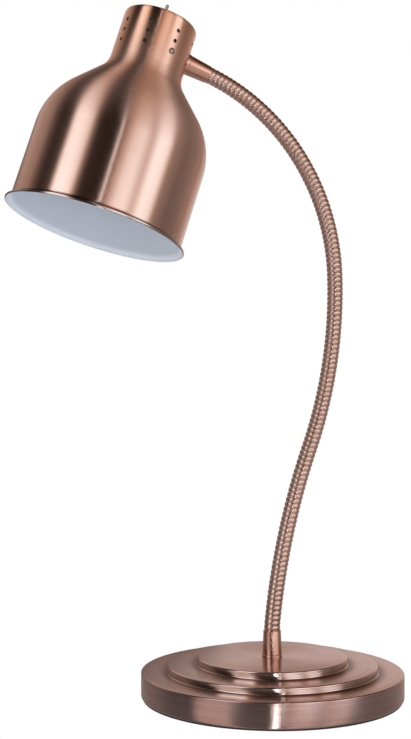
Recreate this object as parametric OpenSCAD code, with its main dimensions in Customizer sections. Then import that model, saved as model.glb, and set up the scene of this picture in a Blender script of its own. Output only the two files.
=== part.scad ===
// Counter-top food heat lamp: stepped round base, ribbed gooseneck, bell shade with a vented neck.
// Origin at the middle of the foot, +Z up. The gooseneck bends in the XZ plane, the head towards -X.
// All sizes are in millimetres.

/* [Base] */
// Radius of the base's skirt
base_r = 135; // [120:1:150]
// Height of the skirt's top step above the table
step1_z = 27; // [24:0.5:32]
// Radius of the middle step
step2_r = 108; // [98:1:112]
// Rise of the middle step
step2_rise = 7.2; // [5:0.2:9]
// Radius of the top step
step3_r = 77; // [68:1:84]
// Rise of the top step
step3_rise = 7.6; // [5:0.2:9]
// Sheet of the spun base cover
cover_t = 1.4; // [1:0.1:1.8]
// Thickness of the rubber foot
foot_t = 1.8; // [1.4:0.1:2.6]
// Radius of the cast weight inside
weight_r = 114; // [96:1:118]
// Thickness of the cast weight's disc
weight_t = 12; // [10:0.5:14]

/* [Gooseneck] */
// Outer radius of the hose over its ribs
hose_r = 8.3; // [8:0.1:8.6]
// Radius of the hose between its ribs
groove_r = 7.7; // [7.5:0.05:7.8]
// Radius of the hose's bore
bore_r = 3.6; // [3.4:0.1:3.8]
// Length of the whole hose
hose_length = 640.3; // [600:5:680]
// Ribs on one stretch of the hose
ribs = 14; // [12:1:16]
// Radius of the lead inside the hose
lead_r = 2.6; // [2:0.1:2.8]

/* [Ferrules] */
// Radius of a ferrule at its foot
ferrule_r = 10; // [9.4:0.1:11]
// Radius of a ferrule at the hose
ferrule_tip = 9; // [8.7:0.1:9.4]
// Length of a ferrule
ferrule_l = 27; // [24:0.5:30]
// Distance of the upper ferrule's axis below the neck's top
ferrule_drop = 29; // [27:0.5:31]

/* [Shade] */
// Radius of the shade's wall
shade_r = 85.9; // [82:0.2:88]
// Radius over the flared rim
rim_r = 90.9; // [89.6:0.1:92]
// Height of the shade from its mouth to the neck's top
shade_h = 221; // [216:1:226]
// Radius of the shoulder's curve
shoulder_r = 72; // [66:1:76]
// Slope of the shoulder from the axis
shoulder_slope = 43; // [41:0.5:45]
// Radius of the neck
neck_r = 37; // [36:0.2:38]
// Length of the neck's straight part
neck_l = 49.6; // [48:0.4:51]
// Radius of the hollow curve under the neck
throat_r = 25; // [20:1:28]
// Round of the neck's top edge
crown_r = 4; // [3:0.5:6]
// Sheet of the shade
shade_t = 1.2; // [1:0.1:1.5]
// Lean of the shade's axis from upright
shade_tilt = 18.7; // [16:0.5:22]

/* [Vents] */
// Radius of a vent hole
vent_r = 2; // [1.6:0.1:2.4]
// Angle of the vent column nearest the front
vent_turn = -77.5; // [-80:0.5:-75]
// Distance of the first vent row below the neck's top
vent_drop = 15.8; // [15:0.2:17]
// Distance between the vent rows
vent_step = 10.8; // [10.4:0.2:11]

/* [Lampholder and bulb] */
// Radius of the ceramic lampholder
holder_r = 20; // [18:0.5:22]
// Length of the lampholder
holder_l = 37; // [34:0.5:38]
// Distance of the lampholder's top below the neck's top
holder_drop = 31; // [30:0.5:33]
// Radius of the bulb's reflector
bulb_r = 60.5; // [56:0.5:62]
// Length of the bulb with its cap
bulb_l = 136; // [130:1:140]

/* [Switch] */
// Height of the switch bush above the neck's top
bush_h = 7; // [6:0.5:8]
// Length of the lever above the bush
lever_l = 11; // [9:0.5:12]
// Lean of the lever from the middle
lever_lean = 12; // [10:1:14]

/* [Hidden] */
$fn = 96;
COPPER = [0.72, 0.45, 0.34];
FERRULE = [0.78, 0.46, 0.35];
STEEL = [0.6, 0.6, 0.62];
IRON = [0.25, 0.25, 0.27];
RUBBER = [0.08, 0.08, 0.08];
CERAMIC = [0.9, 0.89, 0.85];
BRASS = [0.78, 0.65, 0.36];
GLASS = [0.92, 0.93, 0.95];
step2_z = step1_z + step2_rise;
step3_z = step2_z + step3_rise;
plate_t = 1.5;
weight_z = foot_t + plate_t;
boss_r = 26;
recess_r = 17;
nipple_r = 5;
nipple_bore = 3.6;
inlet_z = 11.6;
inlet_r = 6;
edge_r = 1.2;
nook_r = 1.4;
vent_rows = [vent_drop, vent_drop + vent_step, vent_drop + 2 * vent_step];

// The gooseneck's curve: shares of its length, and the turn of each arc towards the head.
shares = [0.013, 0.288, 0.288, 0.411];
swing = 90 - shade_tilt;
turns = [-6.3, -15, 23.3, swing - 2];
stretches = 9;
pitch = hose_length / (stretches * ribs);
stretch_l = hose_length / stretches;
hose_z = step3_z + ferrule_l;
gap = 0.95;
lip_r = 7.3;
spigot = 3;

// Sum of the first n entries.
function sum(v, n, i = 0) = i >= n ? 0 : v[i] + sum(v, n, i + 1);
// Start of arc i along the hose.
function arc_s(i) = sum(shares, i) * hose_length;
// Heading from upright at distance s, towards the head.
function arc_i(s) = s < arc_s(1) ? 0 : s < arc_s(2) ? 1 : s < arc_s(3) ? 2 : 3;
function heading(s) = let(i = arc_i(s), c = min(max(s, 0), hose_length))
    sum(turns, i) + turns[i] * (c - arc_s(i)) / (shares[i] * hose_length);
// Chord of one arc from heading a over length l and turn t, as [x, z].
function chord(a, l, t) = abs(t) < 0.001 ? [-sin(a) * l, cos(a) * l]
    : let(r = l / (t * PI / 180)) [-r * (cos(a) - cos(a + t)), r * (sin(a + t) - sin(a))];
function arc_start(i) = i == 0 ? [0, hose_z]
    : arc_start(i - 1) + chord(sum(turns, i - 1), shares[i - 1] * hose_length, turns[i - 1]);
// Point of the hose's middle line at distance s, carried on straight past both ends.
function spot(s) = s < 0 ? [0, hose_z + s]
    : s > hose_length ? spot(hose_length) + (s - hose_length) * [-sin(swing), cos(swing)]
    : let(i = arc_i(s), l = s - arc_s(i), t = turns[i] * l / (shares[i] * hose_length))
      arc_start(i) + chord(sum(turns, i), l, t);

// The head hangs on the upper ferrule: its place follows from the hose's end.
reach = ferrule_l + neck_r;
hub = spot(hose_length) + reach * [-sin(swing), cos(swing)];
ferrule_h = shade_h - ferrule_drop;
mouth = hub - ferrule_h * [sin(shade_tilt), cos(shade_tilt)];

// Puts children made along the shade's axis, mouth at zero, neck upwards, where the shade is.
module at_head() {
    translate([mouth[0], 0, mouth[1]])
    rotate([0, shade_tilt, 0])
    children();
}

// A turned solid from a list of [radius, height] points.
module turned(points) {
    rotate_extrude()
    polygon(points);
}

// Points of an arc about [r, z] from angle a to angle b.
function bow(r, z, rad, a, b, n = 8) =
    [for (i = [0:n]) [r + rad * cos(a + (b - a) * i / n), z + rad * sin(a + (b - a) * i / n)]];

module ring(outer, inner, low, high) {
    translate([0, 0, low])
    difference() {
        cylinder(r = outer, h = high - low);
        translate([0, 0, -1])
        cylinder(r = inner, h = high - low + 2);
    }
}

// Rubber foot over the whole underside.
module foot_pad() {
    color(RUBBER)
    cylinder(r = base_r - 1.8, h = foot_t);
}

module base_plate() {
    color(STEEL)
    ring(base_r - cover_t - 0.3, recess_r, foot_t, weight_z);
}

module base_weight() {
    top = step3_z - cover_t;
    color(IRON)
    difference() {
        union() {
            translate([0, 0, weight_z])
            cylinder(r = weight_r, h = weight_t);
            translate([0, 0, weight_z])
            cylinder(r1 = boss_r + 18, r2 = boss_r, h = top - weight_z);
        }
        translate([0, 0, weight_z - 1])
        cylinder(r = recess_r, h = 19);
        cylinder(r = nipple_r + 0.25, h = 60);
        // Channel of the lead, open downwards.
        translate([0, -4, weight_z - 1])
        cube([base_r, 8, 11]);
    }
}

// The spun cover: skirt and three steps, each with a rounded edge and a hollow foot.
module base_cover() {
    t = cover_t;
    e = edge_r;
    f = nook_r;
    outside = concat(
        [[base_r, foot_t]],
        bow(base_r - e, step1_z - e, e, 0, 90, 5),
        bow(step2_r + f, step1_z + f, f, 270, 180, 5),
        bow(step2_r - e, step2_z - e, e, 0, 90, 5),
        bow(step3_r + f, step2_z + f, f, 270, 180, 5),
        bow(step3_r - e, step3_z - e, e, 0, 90, 5),
        [[nipple_r + 0.25, step3_z]]);
    inside = [
        [nipple_r + 0.25, step3_z - t],
        [step3_r - t, step3_z - t],
        [step3_r - t, step2_z - t],
        [step2_r - t, step2_z - t],
        [step2_r - t, step1_z - t],
        [base_r - t, step1_z - t],
        [base_r - t, foot_t]];
    color(COPPER)
    difference() {
        turned(concat(outside, inside));
        translate([base_r - 6, 0, inlet_z])
        rotate([0, 90, 0])
        cylinder(r = inlet_r, h = 10);
    }
}

// Rubber bush where the supply lead enters, at the back.
module inlet_grommet() {
    color(RUBBER)
    translate([base_r - cover_t - 2.2, 0, inlet_z])
    rotate([0, 90, 0])
    turned([[lead_r + 0.4, 0], [8, 0], [8, 1.7], [inlet_r - 0.1, 1.7], [inlet_r - 0.1, cover_t + 2.7],
            [8, cover_t + 2.7], [7, cover_t + 5], [lead_r + 0.4, cover_t + 5]]);
}

// Threaded tube that ties the weight, the cover and the lower ferrule together.
module base_nipple() {
    color(BRASS)
    ring(nipple_r, nipple_bore, 13, step3_z + 16);
}

module nipple_washer() {
    color(STEEL)
    ring(11, nipple_r + 0.2, weight_z + 16.6, weight_z + 18);
}

module nipple_nut() {
    color(STEEL)
    translate([0, 0, weight_z + 11.6])
    difference() {
        cylinder(r = 9, h = 5, $fn = 6);
        translate([0, 0, -1])
        cylinder(r = nipple_r, h = 7);
    }
}

// One ferrule, standing on its wider foot: narrow collar, barrel that tapers, rounded edge at the hose.
module ferrule_form(foot) {
    c = 1.2;
    e = 1.2;
    turned(concat(
        [[nipple_r + 0.02, foot]],
        [[ferrule_r + 0.6, foot]],
        bow(ferrule_r - 0.6, 1.2, c, 0, 60, 4),
        [[ferrule_r, 3.2]],
        bow(ferrule_tip - e, ferrule_l - e, e, 0, 75, 4),
        [[ferrule_tip - e, ferrule_l]],
        [[5.4, ferrule_l], [5.4, 17.5], [nipple_r + 0.02, 17.5]]));
}

module lower_ferrule() {
    color(FERRULE)
    translate([0, 0, step3_z])
    ferrule_form(0);
}

// Ring of n points round the hose's middle line at distance s.
function hoop(s, r, n = 8) = let(p = spot(s), a = heading(s))
    [for (k = [0:n - 1]) let(w = (k + 0.5) * 360 / n)
        [p[0] + r * cos(w) * cos(a), r * sin(w), p[1] + r * cos(w) * sin(a)]];

// Skin through a closed loop of hoops, each given as [s, r].
module loop_skin(list, n = 8) {
    m = len(list);
    points = [for (h = list) each hoop(h[0], h[1], n)];
    faces = [for (i = [0:m - 1]) for (k = [0:n - 1])
        let(a = i * n, b = ((i + 1) % m) * n, q = (k + 1) % n)
        each [[a + k, b + k, b + q], [a + k, b + q, a + q]]];
    polyhedron(points = points, faces = faces, convexity = 8);
}

// An eight-sided hoop with the area of a round one is this much wider at its corners.
full = sqrt(2 * PI / (8 * sin(45)));

// Stretch k of the hose, 1 to 9: ribs outside, a socket at its foot and a ball spigot at its head.
module hose(k) {
    s0 = (k - 1) * stretch_l;
    s1 = k * stretch_l;
    first = k == 1;
    last = k == stretches;
    socket = first ? [[s0 - 6, bore_r], [s0 - 6, 5.3], [s0, 5.3], [s0, groove_r]]
        : [[s0 + 5.4, bore_r], [s0 + 4.4, 4.8], [s0 + 3, 5.77], [s0 + gap, 6.43], [s0 + gap, lip_r]];
    body = [for (j = [0:ribs - 1]) each
        [[s0 + (j + 0.5) * pitch, hose_r * full],
         each (j < ribs - 1 ? [[s0 + (j + 1) * pitch, groove_r * full]] : [])]];
    tip = last ? [[s1, groove_r], [s1, 5.3], [s1 + 6, 5.3], [s1 + 6, bore_r]]
        : [[s1 - gap, lip_r], [s1 - gap, 5.72], [s1 + 0.4, 5.79], [s1 + 1.8, 5.51], [s1 + spigot, 4.96],
           [s1 + spigot, bore_r]];
    from = last ? s1 - 2 : s1 - 4;
    to = first ? s0 + 4 : s0 + 12;
    inner = [for (i = [0:5]) [from + (to - from) * i / 5, bore_r]];
    color(COPPER)
    loop_skin(concat(socket, body, tip, inner));
}

// Solid round skin along hoops of an open route, each [x, z, heading, r].
module route_skin(list, n = 8) {
    m = len(list);
    points = [for (h = list) for (k = [0:n - 1]) let(w = (k + 0.5) * 360 / n)
        [h[0] + h[3] * cos(w) * cos(h[2]), h[3] * sin(w), h[1] + h[3] * cos(w) * sin(h[2])]];
    faces = concat(
        [for (i = [0:m - 2]) for (k = [0:n - 1])
            let(a = i * n, b = (i + 1) * n, q = (k + 1) % n)
            each [[a + k, b + k, b + q], [a + k, b + q, a + q]]],
        [for (k = [1:n - 2]) [0, k, k + 1]],
        [for (k = [1:n - 2]) [(m - 1) * n, (m - 1) * n + k + 1, (m - 1) * n + k]]);
    polyhedron(points = points, faces = faces, convexity = 8);
}

function on_hose(s) = let(p = spot(s)) [p[0], p[1], heading(s), lead_r];
// A point of the head, given as [radius towards the ferrule, height], with its heading there.
function in_head(x, h, a) = [mouth[0] + x * cos(shade_tilt) + h * sin(shade_tilt),
    mouth[1] - x * sin(shade_tilt) + h * cos(shade_tilt), a - shade_tilt, lead_r];

// The lead's stretch k. The first comes from the inlet, the last ends at the switch.
module lead(k) {
    s0 = (k - 1) * stretch_l + spigot + 0.9;
    s1 = k * stretch_l + spigot;
    low = k == 1 ? [
        [base_r - cover_t - 2.2, inlet_z, 90, lead_r],
        [base_r - 10, inlet_z, 88, lead_r],
        [base_r - 32, 8.8, 84, lead_r],
        [40, 8.2, 89, lead_r],
        [9, 8.2, 82, lead_r],
        [3.6, 9.5, 55, lead_r],
        [0.8, 12.2, 25, lead_r],
        [0, 17, 0, lead_r],
        [0, step3_z, 0, lead_r]] : [];
    high = k == stretches ? [
        in_head(neck_r, ferrule_h, 90),
        in_head(22, ferrule_h, 90),
        in_head(14, ferrule_h + 1.5, 70),
        in_head(8, ferrule_h + 5.2, 45),
        in_head(5.5, ferrule_h + 8.5, 15)] : [];
    first = k == 1 ? 0 : s0;
    end = k == stretches ? hose_length : s1;
    mid = [for (i = [0:6]) on_hose(first + (end - first) * i / 6)];
    color([0.1, 0.1, 0.1])
    route_skin(concat(low, mid, high));
}

module upper_ferrule() {
    color(FERRULE)
    at_head()
    translate([0, 0, ferrule_h])
    rotate([0, 90, 0])
    difference() {
        translate([0, 0, neck_r])
        ferrule_form(-2);
        rotate([0, -90, 0])
        translate([0, 0, -20])
        cylinder(r = neck_r, h = 40);
    }
}

module neck_nipple() {
    color(BRASS)
    at_head()
    translate([0, 0, ferrule_h])
    rotate([0, 90, 0])
    ring(nipple_r, nipple_bore, 27.5, neck_r + 16);
}

module neck_nut() {
    color(STEEL)
    at_head()
    translate([0, 0, ferrule_h])
    rotate([0, 90, 0])
    difference() {
        translate([0, 0, 29])
        cylinder(r = 8.5, h = 4.7, $fn = 6);
        cylinder(r = nipple_r, h = 60);
    }
}

// Spun bell: flared rim with a thin bead, upright wall, round shoulder, hollow throat, vented neck.
module shade() {
    t = shade_t;
    a = shoulder_slope;
    // From the top down: foot of the neck, head and foot of the straight slope, foot of the shoulder.
    z3 = shade_h - neck_l;
    z2 = z3 - throat_r * sin(a);
    r2 = neck_r + throat_r * (1 - cos(a));
    r1 = shade_r - shoulder_r * (1 - cos(a));
    z1 = z2 - (r1 - r2) / tan(a);
    sh = z1 - shoulder_r * sin(a);
    bead = 1.3;
    flare = rim_r - shade_r - 1;
    outside = concat(
        bow(rim_r - bead, bead, bead, 180, 460, 12),
        bow(shade_r + flare, 2 * bead + flare, flare, 250, 180, 6),
        bow(shade_r - shoulder_r, sh, shoulder_r, 0, a, 12),
        bow(neck_r + throat_r, z3, throat_r, 180 + a, 180, 8),
        bow(neck_r - crown_r, shade_h - crown_r, crown_r, 0, 90, 6),
        [[3.1, shade_h]]);
    inside = concat(
        [[3.1, shade_h - t]],
        bow(neck_r - crown_r, shade_h - crown_r, crown_r - t, 90, 0, 5),
        bow(neck_r + throat_r, z3, throat_r + t, 180, 180 + a, 8),
        bow(shade_r - shoulder_r, sh, shoulder_r - t, a, 0, 12),
        bow(shade_r + flare, 2 * bead + flare, flare + t, 180, 235, 5));
    color(COPPER)
    at_head()
    difference() {
        turned(concat(outside, inside));
        for (row = vent_rows, i = [0:7])
            if (i != 2)
                rotate([0, 0, vent_turn + 45 * i])
                translate([neck_r - 4, 0, shade_h - row])
                rotate([0, 90, 0])
                cylinder(r = vent_r, h = 8, $fn = 24);
        translate([neck_r - 6, 0, ferrule_h])
        rotate([0, 90, 0])
        cylinder(r = nipple_r + 0.2, h = 12);
    }
}

holder_top = shade_h - holder_drop;
contact_h = holder_top - 4;
strap_t = 1.5;
strap_w = 12;
strap_r = neck_r - shade_t;
screw_r = 1.48;
screw_x = 12;
wire_x = -4;
wire_r = 1.1;

// Strap across the neck that carries the lampholder, its ends bent down along the wall.
module holder_strap() {
    color(STEEL)
    at_head()
    rotate([0, 0, vent_turn])
    difference() {
        union() {
            intersection() {
                translate([-neck_r, -strap_w / 2, holder_top])
                cube([2 * neck_r, strap_w, strap_t]);
                cylinder(r = strap_r, h = shade_h);
            }
            for (side = [0, 180])
                rotate([0, 0, side])
                intersection() {
                    ring(strap_r, strap_r - strap_t, holder_top - 10, holder_top + strap_t);
                    translate([0, -strap_w / 2, 0])
                    cube([neck_r, strap_w, shade_h]);
                }
        }
        for (side = [0, 180])
            rotate([0, 0, side])
            translate([neck_r - 6, 0, shade_h - vent_rows[2]])
            rotate([0, 90, 0])
            cylinder(r = screw_r + 0.02, h = 8, $fn = 24);
        for (x = [-screw_x, screw_x])
            translate([x, 0, holder_top - 1])
            cylinder(r = screw_r + 0.02, h = strap_t + 2, $fn = 24);
        // Hole for the wire.
        rotate([0, 0, -vent_turn])
        translate([wire_x, 0, holder_top - 1])
        cylinder(r = wire_r + 0.4, h = strap_t + 2, $fn = 24);
    }
}

// The two screws through the neck's wall into the strap.
module strap_screws() {
    color(STEEL)
    at_head()
    rotate([0, 0, vent_turn])
    for (side = [0, 180])
        rotate([0, 0, side])
        translate([0, 0, shade_h - vent_rows[2]])
        rotate([0, 90, 0]) {
            translate([0, 0, neck_r - 4.5])
            cylinder(r = screw_r, h = 4.6, $fn = 24);
            translate([0, 0, neck_r])
            turned([[0, 0], [2.9, 0], [2.7, 0.8], [1.8, 1.5], [0, 1.8]]);
        }
}

module lampholder() {
    h = holder_l;
    color(CERAMIC)
    at_head()
    translate([0, 0, holder_top - h])
    difference() {
        turned([[14.4, h - 4], [14.4, 6.5], [17.9, 5], [17.9, 0], [holder_r - 1, 0], [holder_r, 1.5],
                [holder_r, h - 15], [holder_r - 3, h - 12], [holder_r - 3, h - 1], [holder_r - 4, h],
                [0, h], [0, h - 4]]);
        for (x = [-screw_x, screw_x])
            rotate([0, 0, vent_turn])
            translate([x, 0, h - 6])
            cylinder(r = screw_r + 0.02, h = 10, $fn = 24);
    }
}

// Screws that hold the lampholder under the strap.
module holder_screws() {
    color(STEEL)
    at_head()
    rotate([0, 0, vent_turn])
    for (x = [-screw_x, screw_x])
        translate([x, 0, holder_top]) {
            translate([0, 0, -3.8])
            cylinder(r = screw_r, h = 5.4, $fn = 24);
            translate([0, 0, strap_t])
            turned([[0, 0], [2.9, 0], [2.7, 0.8], [1.8, 1.5], [0, 1.8]]);
        }
}

module holder_shell() {
    color(BRASS)
    at_head()
    ring(14.4, 13.7, holder_top - 29.5, holder_top - 6);
}

module holder_contact() {
    color(BRASS)
    at_head() {
        translate([0, 0, contact_h - 1.6])
        cylinder(r = 4, h = 1);
        translate([0, 0, contact_h - 1])
        cylinder(r = 2, h = 1);
    }
}

// The bulb's face, the end of its glass under the cap, and the height between them.
cap_l = 32;
face_h = contact_h - 1.6 - bulb_l;
glass_top = face_h + bulb_l - cap_l;
glass_l = bulb_l - cap_l;
pinch_r = 16.5;
glass_t = 2.4;

// Pressed-glass reflector bulb, hollow and sealed, its face towards the mouth.
module bulb_glass() {
    f = face_h;
    b = bulb_r;
    l = glass_l;
    g = glass_top;
    p = pinch_r;
    dish = b / 12;
    color(GLASS)
    at_head()
    turned(concat(
        [[0, f]],
        [for (i = [1:6]) [b * 0.9 * i / 6, f + dish * pow(i / 6, 2)]],
        [[b, f + 0.087 * l], [b, f + 0.144 * l], [b * 0.959, f + 0.183 * l]],
        [[b * 0.826, f + 0.317 * l], [b * 0.645, f + 0.5 * l], [b * 0.479, f + 0.692 * l]],
        [[p * 1.3, g - p * 0.85], [p, g - p * 0.18], [p * 0.73, g]],
        [[p * 0.6, g - p * 0.12], [p * 0.88, g - p * 0.3], [p * 1.18, g - p * 0.94]],
        [[b * 0.446, f + 0.683 * l], [b * 0.612, f + 0.49 * l], [b * 0.793, f + 0.308 * l]],
        [[b * 0.926, f + 0.183 * l], [b * 0.964, f + 0.135 * l]],
        [for (i = [6:-1:1]) [b * 0.883 * i / 6, f + glass_t + dish * pow(i / 6, 2)]],
        [[0, f + glass_t]]));
}

// Screw cap of the bulb: skirt on the glass, threaded barrel, insulator and end contact.
module bulb_cap() {
    g = glass_top;
    p = pinch_r;
    end = g + cap_l;
    groove = [for (i = [0:4]) each [[13.2, end - 22 + i * 3.6], [12.4, end - 20.2 + i * 3.6]]];
    color(BRASS)
    at_head()
    turned(concat(
        [[0, g], [p * 0.73, g], [p, g - p * 0.18], [p + 1, g - p * 0.18 + 2], [13.6, g + 5]],
        groove,
        [[12, end - 3.6], [6, end - 1.4], [4.5, end - 1.2], [4.5, end], [0, end]]));
}

module toggle_body() {
    color([0.12, 0.12, 0.13])
    at_head()
    translate([-6.5, -4, shade_h - shade_t - 11])
    cube([13, 8, 9.8]);
}

module toggle_terminals() {
    color(BRASS)
    at_head()
    for (x = [-5.5, 2.5])
        translate([x, -0.5, shade_h - shade_t - 15])
        cube([3, 1, 4]);
}

// Threaded bush through the neck's top, open for the lever.
module toggle_bush() {
    low = shade_h - shade_t - 1.2;
    color(STEEL)
    at_head()
    turned([[2.26, low], [4, low], [4, shade_h - shade_t], [3, shade_h - shade_t], [3, shade_h + bush_h - 0.6],
            [2.7, shade_h + bush_h], [2.26, shade_h + bush_h]]);
}

module toggle_nut() {
    color(STEEL)
    at_head()
    translate([0, 0, shade_h])
    difference() {
        cylinder(r = 4.7, h = 2, $fn = 6);
        translate([0, 0, -1])
        cylinder(r = 3, h = 4);
    }
}

// Bat lever on its ball, leaning to the on side.
module toggle_lever() {
    pivot = shade_h + bush_h - 4;
    l = lever_l + 4;
    color(STEEL)
    at_head()
    translate([0, 0, pivot])
    rotate([lever_lean, 0, 0]) {
        sphere(r = 2.2, $fn = 48);
        turned([[0, 0], [1.1, 0], [1.1, 4], [1.75, l - 1.8], [1.4, l - 0.7], [0.7, l - 0.1], [0, l]]);
    }
}

// Insulated link from the switch down to the lampholder, with a push-on receptacle on the tab.
module switch_wire() {
    low = shade_h - shade_t - 15;
    color([0.85, 0.85, 0.82])
    at_head() {
        difference() {
            translate([wire_x - 2, -wire_r, low - 1])
            cube([4, 2 * wire_r, 4.5]);
            translate([wire_x - 1.55, -0.55, low - 0.05])
            cube([3.1, 1.1, 6]);
        }
        translate([wire_x, 0, holder_top])
        cylinder(r = wire_r, h = low - 1 - holder_top, $fn = 16);
    }
}

foot_pad();
base_plate();
base_weight();
base_cover();
inlet_grommet();
base_nipple();
nipple_washer();
nipple_nut();
lower_ferrule();
hose(1);  // hose_1
hose(2);  // hose_2
hose(3);  // hose_3
hose(4);  // hose_4
hose(5);  // hose_5
hose(6);  // hose_6
hose(7);  // hose_7
hose(8);  // hose_8
hose(9);  // hose_9
lead(1);  // lead_1
lead(2);  // lead_2
lead(3);  // lead_3
lead(4);  // lead_4
lead(5);  // lead_5
lead(6);  // lead_6
lead(7);  // lead_7
lead(8);  // lead_8
lead(9);  // lead_9
upper_ferrule();
neck_nipple();
neck_nut();
shade();
holder_strap();
strap_screws();
lampholder();
holder_screws();
holder_shell();
holder_contact();
bulb_glass();
bulb_cap();
toggle_body();
toggle_terminals();
toggle_bush();
toggle_nut();
toggle_lever();
switch_wire();
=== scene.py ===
# %% [markdown]
# # A counter-top food heat lamp
# The lamp has a stepped round base, a ribbed gooseneck and a bell shade with a vented neck, all
# in brushed copper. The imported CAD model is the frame: it says where every piece is and what
# moves with what. This file makes the pieces that show and gives every surface its finish.

# %% Load the frame
import math
import bmesh
import bpy
from mathutils import Matrix, Vector


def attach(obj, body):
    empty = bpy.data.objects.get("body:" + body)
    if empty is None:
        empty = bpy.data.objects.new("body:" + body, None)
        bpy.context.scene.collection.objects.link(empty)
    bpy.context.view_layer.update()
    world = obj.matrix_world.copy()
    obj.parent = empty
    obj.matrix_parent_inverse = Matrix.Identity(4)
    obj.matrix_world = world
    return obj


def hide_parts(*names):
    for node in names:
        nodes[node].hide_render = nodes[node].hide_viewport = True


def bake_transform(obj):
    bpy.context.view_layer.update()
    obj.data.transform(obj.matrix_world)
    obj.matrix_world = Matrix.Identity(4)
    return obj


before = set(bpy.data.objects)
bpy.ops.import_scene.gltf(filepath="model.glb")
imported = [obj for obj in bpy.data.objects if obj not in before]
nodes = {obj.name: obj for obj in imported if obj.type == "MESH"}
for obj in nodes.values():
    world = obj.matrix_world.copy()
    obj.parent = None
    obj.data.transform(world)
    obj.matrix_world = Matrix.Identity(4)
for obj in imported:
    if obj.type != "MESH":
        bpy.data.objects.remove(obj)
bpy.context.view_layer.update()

# %% [markdown]
# ## The sizes of the lamp
# The sizes are those of the CAD source, in millimetres, because a lamp maker thinks in them.
# Blender works in metres, so one factor turns them at the last moment.

# %% Sizes
MM = 0.001
BASE_R, STEP1_Z, STEP2_R, STEP2_Z, STEP3_R, STEP3_Z = 135.0, 27.0, 108.0, 34.2, 77.0, 41.8
FOOT_T, COVER_T = 1.8, 1.4
HOSE_R, GROOVE_R, HOSE_L, STRETCHES, RIBS = 8.3, 7.7, 640.3, 9, 14
FERRULE_R, FERRULE_TIP, FERRULE_L, NECK_R, NECK_L = 10.0, 9.0, 27.0, 37.0, 49.6
SHADE_H, SHADE_R, RIM_R, SHADE_T, TILT = 221.0, 85.9, 90.9, 1.2, 18.7
FERRULE_H = SHADE_H - 29.0
HOLDER_TOP = SHADE_H - 31.0
PITCH = HOSE_L / (STRETCHES * RIBS)
print("rib pitch", round(PITCH, 2), "mm")

# %% [markdown]
# ## The gooseneck's curve
# The bent hose is four arcs that run into each other: a turn is a heading that grows evenly with
# the distance along the hose. Everything on the hose and the head is placed from this curve.

# %% The curve
SWING = 90 - TILT
SHARES = (0.013, 0.288, 0.288, 0.411)
TURNS = (-6.3, -15.0, 23.3, SWING - 2)


def chord(heading, length, turn):
    a, b = math.radians(heading), math.radians(heading + turn)
    r = length / math.radians(turn)
    return Vector((-r * (math.cos(a) - math.cos(b)), 0, r * (math.sin(b) - math.sin(a))))


def spot(s):
    """Point of the hose's middle line at distance s, and its heading from upright, in mm."""
    if s < 0:
        return Vector((0, 0, STEP3_Z + FERRULE_L + s)), 0.0
    p, heading, left = Vector((0, 0, STEP3_Z + FERRULE_L)), 0.0, min(s, HOSE_L)
    for share, turn in zip(SHARES, TURNS):
        length = share * HOSE_L
        part = min(left, length)
        if part > 1e-9:
            p = p + chord(heading, part, turn * part / length)
            heading += turn * part / length
        left -= part
    if s > HOSE_L:
        a = math.radians(heading)
        p = p + (s - HOSE_L) * Vector((-math.sin(a), 0, math.cos(a)))
    return p, heading


hose_end, _ = spot(HOSE_L)
sw, ti = math.radians(SWING), math.radians(TILT)
hub = hose_end + (FERRULE_L + NECK_R) * Vector((-math.sin(sw), 0, math.cos(sw)))
mouth = hub - FERRULE_H * Vector((math.sin(ti), 0, math.cos(ti)))
HEAD = Matrix.Translation(mouth) @ Matrix.Rotation(ti, 4, "Y")
print("mouth of the shade at", [round(c, 1) for c in mouth])

# %% [markdown]
# ## Helpers for turned pieces
# Nearly every piece of this lamp is turned or spun, so one helper draws a profile in radius and
# height and sweeps it round an axis. The profile is a closed loop where the piece is a shell.

# %% Turning
def arc(r, z, rad, a, b, n=10):
    """Points [radius, height] on a curve about (r, z) from angle a to b, in degrees."""
    steps = [a + (b - a) * i / n for i in range(n + 1)]
    return [(r + rad * math.cos(math.radians(t)), z + rad * math.sin(math.radians(t))) for t in steps]


def turned_mesh(name, profile, segments=160, loop=False, place=None, inside_from=None):
    """Mesh swept from a profile in mm; the faces from profile point inside_from on take slot 1."""
    bm = bmesh.new()
    rings = []
    for r, z in profile:
        if r < 1e-6:
            rings.append([bm.verts.new((0, 0, z))])
        else:
            rings.append([bm.verts.new((r * math.cos(2 * math.pi * k / segments),
                                        r * math.sin(2 * math.pi * k / segments), z))
                          for k in range(segments)])
    count = len(rings) if loop else len(rings) - 1
    for i in range(count):
        a, b = rings[i], rings[(i + 1) % len(rings)]
        slot = 1 if inside_from is not None and i >= inside_from else 0
        for k in range(segments):
            q = (k + 1) % segments
            ring = [a[k % len(a)], a[q % len(a)], b[q % len(b)], b[k % len(b)]]
            unique = list(dict.fromkeys(ring))
            if len(unique) > 2:
                face = bm.faces.new(unique)
                face.material_index = slot
                face.smooth = True
    bmesh.ops.remove_doubles(bm, verts=bm.verts, dist=1e-6)
    bmesh.ops.recalc_face_normals(bm, faces=bm.faces)
    bm.transform(Matrix.Scale(MM, 4) @ (place or Matrix.Identity(4)))
    mesh = bpy.data.meshes.new(name)
    bm.to_mesh(mesh)
    bm.free()
    mesh.set_sharp_from_angle(angle=math.radians(32))
    return mesh


def add_piece(name, mesh, *materials):
    piece = bpy.data.objects.new(name, mesh)
    bpy.context.scene.collection.objects.link(piece)
    for material in materials:
        mesh.materials.append(material)
    return piece


# %% [markdown]
# ## Shader maths in plain Python
# A material is easier to read as a formula than as boxes and wires. One small class wraps a
# socket, so that adding or multiplying two of them adds the Math node that does it.

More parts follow.
